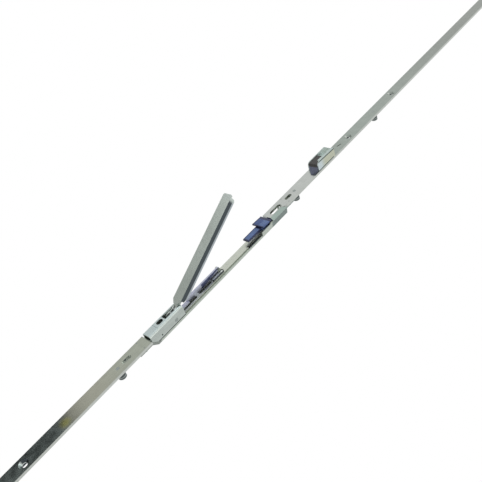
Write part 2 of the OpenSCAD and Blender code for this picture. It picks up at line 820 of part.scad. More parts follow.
// Plastic insert between the walls, with a ramp that runs out below the bracket down to the face.
module keep_insert() {
    half = plate_w / 2 - keep_t - slide_gap;
    nose_z = keep_z - nose_len;
    color(black) intersection() {
        side(-half, half) polygon([[-keep_t, keep_z - slide_gap], [-keep_t, keep_z + insert_len],
            [insert_top, keep_z + insert_len], [insert_top, keep_z + over], [-nose_t, nose_z], [0, nose_z],
            [0, keep_z - slide_gap]]);
        plan(insert_top - over, over) polygon([[-half, keep_z], [nose_x - nose_hw, nose_z],
            [nose_x + nose_hw, nose_z], [half, keep_z], [half, keep_z + insert_len],
            [-half, keep_z + insert_len]]);
    }
}

module keep_rivets() {
    color(bright_zinc) for (z = keep_rivet_z()) {
        post(0, z, keep_rivet_r, -keep_t - keep_head_t / 2, plate_t);
        post(0, z, keep_rivet_r + keep_head, -keep_t - keep_head_t, -keep_t);
    }
}

// Snap catch: tongue that enters the shut lever, finger pad and pivot end.
module catch() {
    eye_y = catch_y + catch_pin_r + eye_wall;
    color(blue) difference() {
        union() {
            side(-tongue_hw, tongue_hw) polygon([[tongue_y, tongue_tip], [tongue_y + tongue_t, tongue_tip],
                [tongue_y + tongue_t + over, pad_low - over], [eye_y, pad_high], [eye_y, catch_z + eye_end],
                [plate_t + eye_gap, catch_z + eye_end], [plate_t + eye_gap, pad_high], [tongue_y, pad_high]]);
            side(-pad_w / 2, pad_w / 2) polygon([[pad_y - pad_rise, pad_low],
                [pad_y - pad_rise + pad_t, pad_low], [pad_y + pad_t, pad_high], [pad_y, pad_high]]);
            side(-tongue_hw, tongue_hw) rect(pad_y + pad_t / 2, pad_low + pad_stem, tongue_y + over, pad_high);
        }
        cross_pin(catch_y, catch_z, catch_pin_r + pin_gap, tray_w);
    }
}

module catch_pin() {
    lean = (plate_w / 2 - wall_out) / (tray_depth - plate_t);
    wall_x = plate_w / 2 - lean * (catch_y + catch_pin_r - plate_t);
    color(dark_steel) side(-wall_out, wall_x) translate([catch_y, catch_z]) circle(catch_pin_r);
}

// Moves a piece so that the back of the strip is at y = 0.
module placed() {
    translate([0, -plate_t, 0]) children();
}

placed() lower_faceplate();
placed() upper_faceplate();
placed() tray();
placed() housing();
placed() lever_pins();
placed() lever();
placed() crank_pin();
placed() yoke_arm();
placed() yoke_pin();
placed() upper_bar();
placed() upper_rod();
placed() upper_lap_rivet();
placed() upper_bolt();
placed() upper_bolt_rivet();
placed() upper_guide();
placed() upper_guide_rivets();
placed() lower_bar();
placed() lower_rod();
placed() lower_lap_rivet();
placed() lower_bolt();
placed() lower_bolt_rivet();
placed() lower_guide();
placed() lower_guide_rivets();
placed() reversing_pinion();
placed() pinion_axle();
placed() lower_stud();
placed() middle_stud();
placed() upper_stud();
placed() lower_ear_rivets();
placed() upper_ear_rivets();
placed() keep_bracket();
placed() keep_insert();
placed() keep_rivets();
placed() catch();
placed() catch_pin();
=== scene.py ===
"""Looks for a lever-driven cremone bolt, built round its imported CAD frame."""

import json
import math
from functools import cached_property, partial

import bpy
from mathutils import Matrix, Vector


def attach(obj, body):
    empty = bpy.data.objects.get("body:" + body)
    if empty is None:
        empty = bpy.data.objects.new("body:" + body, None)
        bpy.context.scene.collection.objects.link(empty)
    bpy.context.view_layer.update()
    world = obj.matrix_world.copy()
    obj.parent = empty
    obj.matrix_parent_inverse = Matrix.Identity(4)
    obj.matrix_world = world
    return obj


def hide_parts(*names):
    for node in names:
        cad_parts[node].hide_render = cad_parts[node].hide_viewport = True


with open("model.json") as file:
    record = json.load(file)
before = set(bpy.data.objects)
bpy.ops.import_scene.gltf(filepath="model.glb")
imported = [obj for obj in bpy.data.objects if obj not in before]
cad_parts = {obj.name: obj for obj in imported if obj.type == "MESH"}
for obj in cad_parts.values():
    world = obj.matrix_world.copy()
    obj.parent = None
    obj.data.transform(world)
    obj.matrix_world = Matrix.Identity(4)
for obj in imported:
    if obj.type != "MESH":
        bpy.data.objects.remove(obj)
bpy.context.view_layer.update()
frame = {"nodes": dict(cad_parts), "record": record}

bl_info = {
    "name": "Cremone bolt looks",
    "version": (1, 0, 0),
    "blender": (4, 5, 0),
    "location": "View3D > Sidebar > Cremone",
    "description": "Finishes, details and studio for a lever-driven cremone bolt",
    "category": "Object",
}

IMAGE_PX = 482
FOCAL_PX = 580
SHIFT_PX = -0.4
SENSOR_MM = 36

# The lever as drawn: its opening angle, its pivot, and the start and the tip of its blade along it.
LEVER_OPEN = math.radians(27)
LEVER_PIVOT = Vector((0, 0.0015, -0.133))
LEVER_TURN = Matrix.Rotation(-LEVER_OPEN, 3, "X")
LEVER_ROOT = 0.0185
LEVER_TIP = 0.136

# The dark card stands at the left front, square to the light that the lower end of the strip mirrors.
FLAG_PLACE = (-1.37, -0.95)
FLAG_TURN = math.radians(-47)
FLAG_HALF = 0.33

# Share of the floor's white that comes from its backlight.
BACKLIGHT = 0.7

# Two points nearer than this count as the same place, and no point of the bolt lies past the other.
NEAR = 0.00002
FAR = 1.0

# Copies of CAD meshes: the distance at which points merge, and the angles up to which faces join, from which edges
# count as sharp and up to which they are shaded smooth.
MERGE = 1e-6
FLAT_ANGLE = math.radians(1)
SHARP_ANGLE = math.radians(40)
SMOOTH_ANGLE = math.radians(35)

# Leans of the cuts round the lug's eye; the first one on each side runs down to the lug's foot.
LUG_LEANS = (28, 48, 69, 111, 132, 152)

# The boss on the bar: its ends, its sides, and the levels of its top, its floor and its foot.
BOSS_ENDS = {"low": -0.0746, "high": -0.0524}
BOSS_SIDES = {"low": -0.001, "high": 0.0045}
BOSS_TOP = 0.002
BOSS_FLOOR = 0.0027
BOSS_FOOT = 0.0038

# The dark wedge of painted shade on the yoke: its lower end, and how fast it narrows.
WEDGE_LOW = -0.0855
WEDGE_SLOPE = 0.145

# The walls of holes and slots in the strip lie within this distance of its middle.
HOLE_REACH = 0.006

# The keep: the right face of its wall, its lower end, its length, and how far the wall's top drops along it.
KEEP_WALL = 0.0075
KEEP_LOW = 0.128
KEEP_LEN = 0.036
KEEP_DROP = 0.0014

# The housing: its upper end, and the depth of the groove along its foot.
HOUSING_END = -0.1205
FOOT_DEPTH = 0.0047

# The catch along the strip: the tip of its tongue and the ends of its pad.
TONGUE_TIP = -0.010
PAD_LOW = 0.013
PAD_HIGH = 0.029

# The countersunk hole of the lower strip.
SINK_Z = -0.320

# A painted yellow reflection on the face of the lower strip: its middle, the radius of its core and the width of its
# fade.
REFLECTION_PLACE = (0.001, -0.003, -0.274)
REFLECTION_CORE = 0.001
REFLECTION_FADE = 0.007


def linear(code):
    """Linear colour of an sRGB hex value."""
    channels = [int(code[i:i + 2], 16) / 255 for i in (1, 3, 5)]
    return tuple(c / 12.92 if c <= 0.04045 else ((c + 0.055) / 1.055) ** 2.4 for c in channels)


def add_node(tree, kind, settings=None, links=None):
    """Adds a node, sets its properties and sockets, and links other nodes' outputs to its inputs."""
    made = tree.nodes.new(kind)
    for name, value in (settings or {}).items():
        if isinstance(name, int) or name in made.inputs:
            made.inputs[name].default_value = value
        else:
            setattr(made, name, value)
    for name, source in (links or {}).items():
        tree.links.new(source, made.inputs[name])
    return made


def colour_property(label, about, code):
    """Colour setting whose default is an sRGB hex value."""
    return bpy.props.FloatVectorProperty(name=label, description=about, subtype="COLOR", size=3,
                                         min=0, max=1, default=linear(code))


class CREMONE_PG_finishes(bpy.types.PropertyGroup):
    """Colours of the finishes, and of the light and shade painted on them."""

    lower: colour_property("Lower strip", "Warm zinc plating of the lower faceplate", "#9d9e91")
    lower_near: colour_property("Lower strip, near", "Greener start of the lower faceplate", "#9fa498")
    # Painted reflection: the lower end of the lower faceplate is painted darker and cooler, where it mirrors the dark
    # card.
    lower_end_reflection: colour_property("Lower strip, end", "Cooler plating at the end of the lower faceplate", "#8f9a97")
    # Painted reflection: a yellow spot of reflected light on the lower faceplate.
    yellow_reflection: colour_property("Stain", "Yellow passivation stain on the lower faceplate", "#b4b479")
    upper: colour_property("Upper strip", "Zinc plating of the upper faceplate and the rods", "#9aa39c")
    # Painted highlight: the upper faceplate is painted brighter near the catch, where it mirrors the key light.
    upper_highlight: colour_property("Upper strip, near", "Brighter start of the upper faceplate", "#b9bdb9")
    # Painted shade: the upper faceplate is painted duller towards its far end, where that reflection fades.
    upper_shade: colour_property("Upper strip, far", "Duller end of the upper faceplate", "#8b908a")
    # Painted highlight: the sides of the strip and the rods are painted brighter than the face.
    edge: colour_property("Strip edge", "Bright sheared edges of the strip and the rods", "#b9bdb8")
    lever: colour_property("Lever zinc", "Zinc plating on the top of the lever", "#c2cbc4")
    lever_root: colour_property("Lever, root", "Duller root of the lever's top", "#a2aaa3")
    # Painted light: the hub inside the housing is painted brighter against the shade there, and the floor of the
    # bar's boss carries a painted highlight.
    hub: colour_property("Lever hub", "Bright hub inside the housing, and floor of the bar's boss", "#dde3df")
    # Painted shade: the lever's sides are painted dark.
    flange: colour_property("Lever side", "Darkened sides of the lever", "#444c50")
    # Painted highlight along the lower edge of the lever's sides.
    hem: colour_property("Lever hem", "Bright lower edge of the lever's sides", "#a7afb3")
    # Painted highlight on the lever's tip.
    tip: colour_property("Lever tip", "Bright tip of the lever", "#c3ccc7")
    case: colour_property("Housing zinc", "Bluish zinc plating of the housing", "#b7c3c2")
    # Painted light: the housing's walls are painted in a paler tone than its top.
    case_wall: colour_property("Housing wall", "Zinc plating on the housing's walls", "#b1b9b4")
    tray: colour_property("Tray zinc", "Zinc plating outside the tray", "#b4bcb3")
    # Painted shade: the tray's wall beside the catch is painted darker.
    tall_wall_shade: colour_property("Tall wall", "Duller wall of the tray beside the catch", "#76837f")
    # Painted shade: the tray's lower ear is painted darker.
    ear: colour_property("Tray ear", "Duller lower ear of the tray", "#8b928c")
    # Painted shade: the sloping facet beside the catch is painted darker than the strip.
    facet: colour_property("Facet", "Greenish slope of the strip beside the catch", "#69746f")
    # Painted shade in the groove at the housing's foot, in the upper faceplate's holes and on the sides of the bar's
    # boss, and a painted dark reflection in half the lower countersink.
    seam: colour_property("Seam", "Dirt in seams and holes and round the bar's boss", "#41474a")
    # Painted light: the walls of the lower faceplate's holes are painted pale against their shade.
    bore: colour_property("Hole walls", "Walls of the holes in the lower faceplate", "#c4c9c6")
    # Painted light: the walls of the slots beside the catch are painted paler against their shade.
    near_bore: colour_property("Slot walls", "Walls of the slots beside the catch", "#aab0ab")
    # Painted shade: the tray's floor under the bars is painted dark, where it lies in shade.
    floor_shade: colour_property("Tray floor", "Greased floor of the tray", "#2b3134")
    bar: colour_property("Bar zinc", "Yellowish zinc plating of the bars", "#c4c9be")
    link: colour_property("Link zinc", "Bluish zinc plating of the yoke", "#b6b9cb")
    # Painted shade: a dark wedge on the side of the yoke's upper arm.
    link_shade: colour_property("Link shade", "Darkened upper arm of the yoke", "#555b7c")
    link_fork: colour_property("Link fork", "Worn fork of the yoke", "#8f9795")
    keep: colour_property("Keep zinc", "Zinc plating of the keep", "#b3c0bc")
    # Painted highlight: the inner face of the keep's left wall is painted bright.
    keep_inner: colour_property("Keep, inside", "Bright inner face of the keep's left wall", "#e2ece9")
    keep_low: colour_property("Keep wall, low", "Plating on the lower part of the keep's right wall", "#c2ced1")
    keep_high: colour_property("Keep wall, high", "Yellowish plating on the upper part of that wall", "#bbbfac")
    # Painted reflection on the bend below the keep's lip, and painted shade along its foot.
    keep_shade: colour_property("Keep bend", "Darkened bend below the keep's lip", "#465350")
    stud: colour_property("Stud zinc", "Zinc plating of the studs and rivets", "#929a97")
    # Painted shade: a shadow on the studs' neck under the strip, and a dark ring round their head.
    groove: colour_property("Stud grooves", "Dull neck and groove of the studs", "#4f5657")
    steel: colour_property("Plain steel", "Pins, pinion and guides", "#767c80")
    blue: colour_property("Blue polyamide", "Moulded catch", "#2c4982")
    # Painted highlight: the middles of the catch's tongue and pad are painted paler.
    blue_highlight: colour_property("Blue, worn", "Paler middle of the catch's tongue and pad", "#536c9c")
    # Painted shade on the catch's rims.
    blue_shade: colour_property("Blue, rims", "Darker rims of the catch", "#0d1c48")
    black: colour_property("Black polyamide", "Moulded insert of the keep", "#282725")
    # Painted reflection: the lower half of the insert's ramp is painted greyer.
    ramp: colour_property("Insert ramp", "Rubbed front of the insert", "#575d70")


def length_property(label, about, length, **limits):
    """Length setting in metres."""
    return bpy.props.FloatProperty(name=label, description=about, default=length, unit="LENGTH", **limits)


class CREMONE_PG_moulding(bpy.types.PropertyGroup):
    """Sizes of the pieces that are shaped here."""

    edge: length_property("Edge round", "Width of the rounding along the catch's edges", 0.0004, min=0.00005)
    lug_z: length_property("Lug height", "Middle of the bar's lug along the strip", -0.058)
    lug_half: length_property("Lug half length", "Half the length of the bar's lug", 0.0045, min=0.001)
    lug_y: length_property("Lug eye", "Level of the lug's eye", -0.0006)
    lug_left: length_property("Lug left", "Left face of the lug", -0.0042)
    lug_right: length_property("Lug right", "Right face of the lug", -0.003)
    lug_round: length_property("Eye radius", "Radius of the lug's round eye", 0.0018, min=0.0011)
    blade_y: length_property("Blade level", "Level of the bar's face", 0.004)
    boss_x: length_property("Boss place", "Middle of the bar's boss across the strip", 0.0027)
    boss_left: length_property("Boss limit", "Left limit of the bar's boss", 0.001)
    boss_low: length_property("Boss low end", "Lower limit of the bar's boss", -0.0745)
    boss_high: length_property("Boss high end", "Upper limit of the bar's boss", -0.0525)
    boss_wide: bpy.props.FloatProperty(name="Boss widening", description="Factor on the width of the bar's boss",
                                       default=1.53, min=1.0)
    boss_move: length_property("Boss shift", "Shift of the widened boss across the strip", -0.0008)


class CREMONE_PG_stage(bpy.types.PropertyGroup):
    """Sizes and levels of the studio."""

    floor_z: length_property("Floor height", "Height of the studio floor", -0.42)
    floor_half: length_property("Floor half width", "Half the floor's width", 2.0, min=1.0)
    key_power: bpy.props.FloatProperty(name="Key light", description="Power of the main soft light",
                                       default=9.0, min=0.0, unit="POWER")
    fill_power: bpy.props.FloatProperty(name="Fill light", description="Power of the fill light",
                                        default=4.0, min=0.0, unit="POWER")
    world_level: bpy.props.FloatProperty(name="World light", description="Strength of the soft light all round",
                                         default=0.55, min=0.0)
    flag_high: length_property("Flag height", "Top of the dark card at the left front", -0.084)


class Surface:
    """The surface of a piece in its material's nodes: masks by place and facing, and paint laid over them."""

    def __init__(self, tree, place):
        self.tree = tree
        self.place = place
        self.own = self.split(place)

    @cached_property
    def normal(self):
        """Components of the surface normal."""
        return self.split(add_node(self.tree, "ShaderNodeNewGeometry").outputs["True Normal"])

    def split(self, vector):
        """Components of a vector."""
        return add_node(self.tree, "ShaderNodeSeparateXYZ", {}, {"Vector": vector}).outputs

    def math(self, operation, *values):
        """Result of a Math node, whose values are numbers or outputs of other nodes."""
        numbers = {i: value for i, value in enumerate(values) if isinstance(value, (int, float))}
        sources = {i: value for i, value in enumerate(values) if i not in numbers}
        return add_node(self.tree, "ShaderNodeMath", {"operation": operation, **numbers}, sources).outputs[0]

    def band(self, value, fade, low=-FAR, high=FAR):
        """Mask that is 1 where a value lies between two limits, and fades out past them."""
        ends = [add_node(self.tree, "ShaderNodeMapRange", {"interpolation_type": "SMOOTHSTEP", "From Min": off,
                                                           "From Max": full}, {"Value": value}).outputs["Result"]
                for off, full in ((low - fade, low), (high + fade, high))]
        return self.meet(*ends)

    def at(self, axis, fade, **limits):
        """Mask of a range of places along an axis."""
        return self.band(self.own[axis], fade, **limits)

    def faces(self, axis, fade, **limits):
        """Mask of the faces whose normal has a range of values along an axis."""
        return self.band(self.normal[axis], fade, **limits)

    def sides(self):
        """Mask of the faces that look to the left or to the right."""
        return self.band(self.math("ABSOLUTE", self.normal["X"]), 0.2, low=0.75)

    def holes(self):
        """Mask of the walls of holes and slots, which lie inside the strip's edges and face along its plane."""
        return self.meet(self.faces("Y", 0.1, low=-0.3, high=0.3),
                         self.at("X", 0.0005, low=-HOLE_REACH, high=HOLE_REACH))

    def meet(self, *masks):
        """Mask where all of some masks meet."""
        joined = masks[0]
        for mask in masks[1:]:
            joined = self.math("MULTIPLY", joined, mask)
        return joined

    def paint(self, under, colour, *masks):
        """Lays a colour over another where all of some masks meet."""
        # Sockets 0, 6, 7 and output 2 of a Mix node are those of its colour form.
        return add_node(self.tree, "ShaderNodeMix", {"data_type": "RGBA", 7: (*colour, 1)},
                        {0: self.meet(*masks), 6: under}).outputs[2]


def blank(name):
    """New material, its nodes and its shader."""
    material = bpy.data.materials.new(name)
    material.use_nodes = True
    return material, material.node_tree, material.node_tree.nodes["Principled BSDF"]


def zinc(name, colour, zones=None, *, rough, streak_mm, bump, metal=0.8):
    """Zinc-plated steel: rolled sheet gives faint streaks along its length, plating a mottled satin sheen."""
    material, tree, shader = blank(name)
    shader.inputs["Metallic"].default_value = metal
    place = add_node(tree, "ShaderNodeTexCoord").outputs["Object"]
    streak = add_node(tree, "ShaderNodeMapping", {"Scale": (1000 / streak_mm, 1000 / streak_mm, 8)},
                      {"Vector": place})
    rolled = add_node(tree, "ShaderNodeTexNoise", {"Scale": 1.0, "Detail": 3.0}, {"Vector": streak.outputs[0]})
    # Mottling of about 6 mm, coarser than real plating spangle so that it shows.
    mottle = add_node(tree, "ShaderNodeTexNoise", {"Scale": 160.0, "Detail": 4.0, "Roughness": 0.6},
                      {"Vector": place})
    blend = add_node(tree, "ShaderNodeMix", {"data_type": "FLOAT", "Factor": 0.5},
                     {"A": rolled.outputs["Fac"], "B": mottle.outputs["Fac"]})
    tone = add_node(tree, "ShaderNodeMapRange", {"From Min": 0.3, "From Max": 0.7, "To Min": 0.86, "To Max": 1.08},
                    {"Value": blend.outputs["Result"]})
    tint = add_node(tree, "ShaderNodeRGB")
    tint.outputs[0].default_value = (*colour, 1)
    plated = tint.outputs[0]
    if zones:
        plated = zones(Surface(tree, place), plated)
    toned = add_node(tree, "ShaderNodeVectorMath", {"operation": "SCALE"},
                     {"Vector": plated, "Scale": tone.outputs["Result"]})
    tree.links.new(toned.outputs[0], shader.inputs["Base Color"])
    gloss = add_node(tree, "ShaderNodeMapRange", {"To Min": rough - 0.06, "To Max": rough + 0.06},
                     {"Value": mottle.outputs["Fac"]})
    tree.links.new(gloss.outputs["Result"], shader.inputs["Roughness"])
    relief = add_node(tree, "ShaderNodeBump", {"Strength": bump, "Distance": 0.0001},
                      {"Height": blend.outputs["Result"]})
    tree.links.new(relief.outputs["Normal"], shader.inputs["Normal"])
    return material


def housing_zones(c, on, under):
    """Zones of the housing: walls painted paler than the top as painted light, and painted shade in the groove along
    their foot.
    """
    # Painted light: a paler tone on the walls.
    under = on.paint(under, c.case_wall, on.sides())
    # Painted shade in the groove along the walls' foot.
    return on.paint(under, c.seam, on.at("Y", 0.0003, low=FOOT_DEPTH))


def lower_zones(c, on, under):
    """Zones of the lower faceplate: its start, a painted darker reflection at its end, a painted yellow reflection,
    painted highlights on its edges, a painted dark reflection in half its countersink and painted light on its hole
    walls.
    """
    under = on.paint(under, c.lower_near, on.at("Z", 0.05, low=-0.19))
    # Painted reflection: darker and cooler at the lower end.
    under = on.paint(under, c.lower_end_reflection, on.at("Z", 0.02, high=-0.285))
    # Painted reflection: a yellow spot on the strip's face.
    away = add_node(on.tree, "ShaderNodeVectorMath", {"operation": "DISTANCE", 1: REFLECTION_PLACE}, {0: on.place})
    under = on.paint(under, c.yellow_reflection, on.band(away.outputs["Value"], REFLECTION_FADE, high=REFLECTION_CORE))
    # Painted highlight on the sides.
    under = on.paint(under, c.edge, on.sides())
    # Painted reflection: the upper half of the countersink mirrors the dark side of the room.
    under = on.paint(under, c.seam, on.faces("Y", 0.1, low=-0.9, high=-0.4),
                     on.at("Z", 0.0015, low=SINK_Z, high=SINK_Z + 0.005))
    # Painted light on the hole walls.
    return on.paint(under, c.bore, on.holes())


def upper_zones(c, on, under):
    """Zones of the upper faceplate: a painted highlight near the catch, painted shade towards its end, a painted
    darker facet, painted highlights on its edges, painted shade in its holes and painted light on the slot walls
    beside the catch.
    """
    # Painted highlight near the catch.
    under = on.paint(under, c.upper_highlight, on.at("Z", 0.06, low=0, high=0.115))
    # Painted shade towards the far end.
    under = on.paint(under, c.upper_shade, on.at("Z", 0.35, low=0.55))
    # Painted shade on the sloping facet.
    under = on.paint(under, c.facet, on.faces("X", 0.1, low=0.4, high=0.7), on.at("Z", 0.001, low=0, high=0.06))
    # Painted highlight on the sides.
    under = on.paint(under, c.edge, on.sides())
    # Painted shade in the holes and slots.
    under = on.paint(under, c.seam, on.holes())
    # Painted light on the slot walls beside the catch.
    return on.paint(under, c.near_bore, on.holes(), on.at("Z", 0.01, low=0, high=0.1))


def lever_zones(c, on, under):
    """Zones of the lever: a duller root, a hub painted brighter against the shade, painted shade on its sides with a
    painted highlight along their hem, and a painted highlight on its tip.
    """
    turned = add_node(on.tree, "ShaderNodeMapping", {"vector_type": "POINT", "Rotation": (-LEVER_OPEN, 0, 0),
                                                     "Location": tuple(-(LEVER_TURN @ LEVER_PIVOT))},
                      {"Vector": on.place})
    along = on.split(turned.outputs[0])
    under = on.paint(under, c.lever_root, on.band(along["Z"], 0.06, high=0.03))
    # Painted light: the hub is painted brighter against the shade inside the housing.
    under = on.paint(under, c.hub, on.band(along["Z"], 0.002, high=0.010))
    side = on.meet(on.sides(), on.band(along["Z"], 0.001, low=LEVER_ROOT))
    # Painted shade on the sides.
    under = on.paint(under, c.flange, side)
    # Painted highlight along the lower edge of the sides.
    under = on.paint(under, c.hem, side, on.band(along["Y"], 0.001, low=0.0004, high=0.01))
    # Painted highlight on the tip.
    return on.paint(under, c.tip, on.band(along["Z"], 0.004, low=LEVER_TIP))


def bar_zones(c, on, under):
    """Zones of the bar: painted shade on the sides of its boss, round a painted highlight on its floor."""
    boss = on.meet(on.at("Z", 0.0002, **BOSS_ENDS), on.at("X", 0.0002, **BOSS_SIDES))
    # Painted shade on the sides of the boss.
    under = on.paint(under, c.seam, boss, on.at("Y", 0.0001, low=BOSS_TOP, high=BOSS_FOOT))
    # Painted highlight on the floor of the boss.
    return on.paint(under, c.hub, boss, on.at("Y", 2 * NEAR, low=BOSS_FLOOR - NEAR, high=BOSS_FLOOR + NEAR),
                    on.faces("Y", 0.05, high=-0.9))


def stud_zones(c, on, under):
    """Zones of a stud: painted shadow on its neck under the strip, and a dark ring of painted shade round its head.
    """
    # Painted shadow on the neck, under the strip.
    under = on.paint(under, c.groove, on.at("Y", 0.0006, low=0, high=0.0058))
    # Painted shade: a dark ring round the head.
    return on.paint(under, c.groove, on.at("Y", 0.0004, low=0.0075, high=0.0084))


def link_zones(c, on, under):
    """Zones of the yoke: a dark wedge of painted shade on the upper arm that narrows towards the eye, and a grey
    fork.
    """
    # Painted shade: a dark wedge on the side of the upper arm.
    rise = on.math("MULTIPLY_ADD", on.own["Z"], WEDGE_SLOPE, -WEDGE_SLOPE * WEDGE_LOW)
    level = on.math("ADD", on.own["Y"], rise)
    wedge = on.meet(on.at("Y", 0.0003, low=-0.0019), on.band(level, 0.0003, high=0.0032))
    under = on.paint(under, c.link_shade, on.sides(), wedge, on.at("Z", 0.001, low=WEDGE_LOW, high=0))
    return on.paint(under, c.link_fork, on.at("Z", 0.002, high=-0.119))


def tray_zones(c, on, under):
    """Zones of the tray: painted shade on the wall beside the catch, on the lower ear and on the floor under the
    bars.
    """
    # Painted shade on the wall beside the catch.
    under = on.paint(under, c.tall_wall_shade, on.faces("X", 0.2, low=0.5), on.at("Z", 0.004, low=0.031, high=0.1))
    # Painted shade on the lower ear.
    under = on.paint(under, c.ear, on.at("Z", 0.002, high=-0.159))
    # Painted shade on the tray's floor under the bars, outside the housing.
    return on.paint(under, c.floor_shade, on.faces("Y", 0.1, high=-0.8), on.at("Y", 0.0002, low=0.0061, high=0.0069),
                    on.at("Z", 0.002, low=HOUSING_END))


def keep_zones(c, on, under):
    """Zones of the keep: a painted highlight inside, two tones on its right wall, a painted dark reflection on the
    bend below the lip and painted shade along its foot.
    """
    # Painted highlight on the inner face of the left wall.
    under = on.paint(under, c.keep_inner, on.faces("X", 0.2, low=0.75), on.at("X", 0.001, high=0))
    wall = on.meet(on.sides(), on.at("X", 0.0002, low=KEEP_WALL))
    under = on.paint(under, c.keep_low, wall)
    under = on.paint(under, c.keep_high, wall, on.at("Z", 0.012, low=0.145))
    # Painted reflection: a dark line on the bend below the lip; painted shade along the foot.
    slope = KEEP_DROP / KEEP_LEN
    drop = on.math("MULTIPLY_ADD", on.own["Z"], -slope, slope * KEEP_LOW)
    bend = on.band(on.math("ADD", on.own["Y"], drop), 0.0003, low=-0.0160, high=-0.0143)
    foot = on.meet(on.at("Y", 0.0003, low=-0.0042, high=0), on.at("Z", 0.002, low=0, high=0.16))
    return on.paint(under, c.keep_shade, wall, on.math("MAXIMUM", bend, foot))


def insert_zones(c, on, under):
    """Zones of the insert: the lower half of its ramp is painted greyer, as a painted reflection."""
    # Painted reflection on the lower half of the ramp.
    return on.paint(under, c.ramp, on.faces("Z", 0.2, high=-0.4), on.at("Y", 0.0008, low=-0.0093, high=0))


def catch_zones(c, on, under):
    """Zones of the catch: painted highlights on the middles, and painted shade on the rims round the tongue and the
    pad.
    """
    tongue = on.at("Z", 0.0005, high=PAD_LOW - 0.001)
    pad = on.at("Z", 0.0005, low=PAD_LOW, high=PAD_HIGH)
    # Painted highlights on the middles of the tongue and the pad.
    under = on.paint(under, c.blue_highlight, tongue, on.at("X", 0.0012, low=-0.0018, high=0.0026))
    under = on.paint(under, c.blue_highlight, pad, on.at("X", 0.003, low=0.002, high=0.0062))
    # Painted shade on the rims round the tongue and the pad.
    rims = (on.meet(tongue, on.at("X", 0.0006, high=-0.0034)), on.meet(tongue, on.at("X", 0.0004, low=0.0038)),
            on.at("Z", 0.0008, high=TONGUE_TIP + 0.0012), on.meet(pad, on.at("X", 0.0007, high=-0.0071)),
            on.at("Z", 0.0006, low=PAD_LOW - 0.001, high=PAD_LOW + 0.0009),
            on.at("Z", 0.0008, low=PAD_HIGH - 0.0034))
    for rim in rims:
        under = on.paint(under, c.blue_shade, rim)
    return under


def polyamide(name, colour, zones, *, rough):
    """Moulded polyamide: a fine eroded mould texture scatters the highlight, with slight flow shading."""
    material, tree, shader = blank(name)
    shader.inputs["IOR"].default_value = 1.53
    place = add_node(tree, "ShaderNodeTexCoord").outputs["Object"]
    # Mould grain of 0.4 mm and flow shading of about 10 mm.
    grain = add_node(tree, "ShaderNodeTexNoise", {"Scale": 2500.0, "Detail": 2.0}, {"Vector": place})
    flow = add_node(tree, "ShaderNodeTexNoise", {"Scale": 100.0, "Detail": 2.0}, {"Vector": place})
    tone = add_node(tree, "ShaderNodeMapRange", {"From Min": 0.3, "From Max": 0.7, "To Min": 0.85, "To Max": 1.12},
                    {"Value": flow.outputs["Fac"]})
    tint = add_node(tree, "ShaderNodeRGB")
    tint.outputs[0].default_value = (*colour, 1)
    dyed = zones(Surface(tree, place), tint.outputs[0])
    toned = add_node(tree, "ShaderNodeVectorMath", {"operation": "SCALE"},
                     {"Vector": dyed, "Scale": tone.outputs["Result"]})
    tree.links.new(toned.outputs[0], shader.inputs["Base Color"])
    gloss = add_node(tree, "ShaderNodeMapRange", {"To Min": rough - 0.06, "To Max": rough + 0.06},
                     {"Value": grain.outputs["Fac"]})
    tree.links.new(gloss.outputs["Result"], shader.inputs["Roughness"])
    relief = add_node(tree, "ShaderNodeBump", {"Strength": 0.2, "Distance": 0.00005},
                      {"Height": grain.outputs["Fac"]})
    tree.links.new(relief.outputs["Normal"], shader.inputs["Normal"])
    return material


class CREMONE_OT_finishes(bpy.types.Operator):
    """Gives each CAD node its zinc, steel or plastic finish, with painted light and shade on some"""

    bl_idname = "cremone.finishes"
    bl_label = "Finishes"

    def execute(self, context):
        c = context.scene.cremone_finishes
        strip = zinc("zinc_plated_strip", c.upper, partial(upper_zones, c), rough=0.2, streak_mm=0.6, bump=0.04,
                     metal=1.0)
        bar = zinc("yellowish_zinc_bar", c.bar, partial(bar_zones, c), rough=0.3, streak_mm=0.7, bump=0.15)
        stud = zinc("zinc_plated_stud", c.stud, rough=0.28, streak_mm=0.5, bump=0.1)
        turned = zinc("turned_zinc_stud", c.stud, partial(stud_zones, c), rough=0.28, streak_mm=0.5, bump=0.1)
        steel = zinc("turned_steel", c.steel, rough=0.35, streak_mm=0.4, bump=0.2)
        finishes = {
            "lower_faceplate": zinc("warm_zinc_strip", c.lower, partial(lower_zones, c), rough=0.16, streak_mm=0.6,
                                    bump=0.03, metal=1.0),
            "lever": zinc("zinc_plated_lever", c.lever, partial(lever_zones, c), rough=0.2, streak_mm=0.8, bump=0.06),
            "housing": zinc("bluish_zinc_housing", c.case, partial(housing_zones, c), rough=0.26, streak_mm=0.9,
                            bump=0.2),
            "tray": zinc("zinc_plated_tray", c.tray, partial(tray_zones, c), rough=0.3, streak_mm=0.8, bump=0.15),
            "yoke_arm": zinc("blue_zinc_yoke", c.link, partial(link_zones, c), rough=0.32, streak_mm=0.7, bump=0.15),
            "keep_bracket": zinc("zinc_plated_keep", c.keep, partial(keep_zones, c), rough=0.28, streak_mm=0.8,
                                 bump=0.15),
            "catch": polyamide("blue_polyamide", c.blue, partial(catch_zones, c), rough=0.42),
            "keep_insert": polyamide("black_polyamide", c.black, partial(insert_zones, c), rough=0.5),
            "upper_bar": bar,
            "lower_bar": bar,
            "lower_stud": turned,
            "middle_stud": turned,
            "upper_stud": turned,
        }
        by_slot = {"bright_zinc": stud, "zinc_plate": strip, "dark_steel": steel}
        for part in frame["record"]["subparts"]:
            piece = frame["nodes"][part["node"]]
            piece.data.materials.clear()
            piece.data.materials.append(finishes.get(part["node"]) or by_slot[part["material_slot"]])
        return {"FINISHED"}


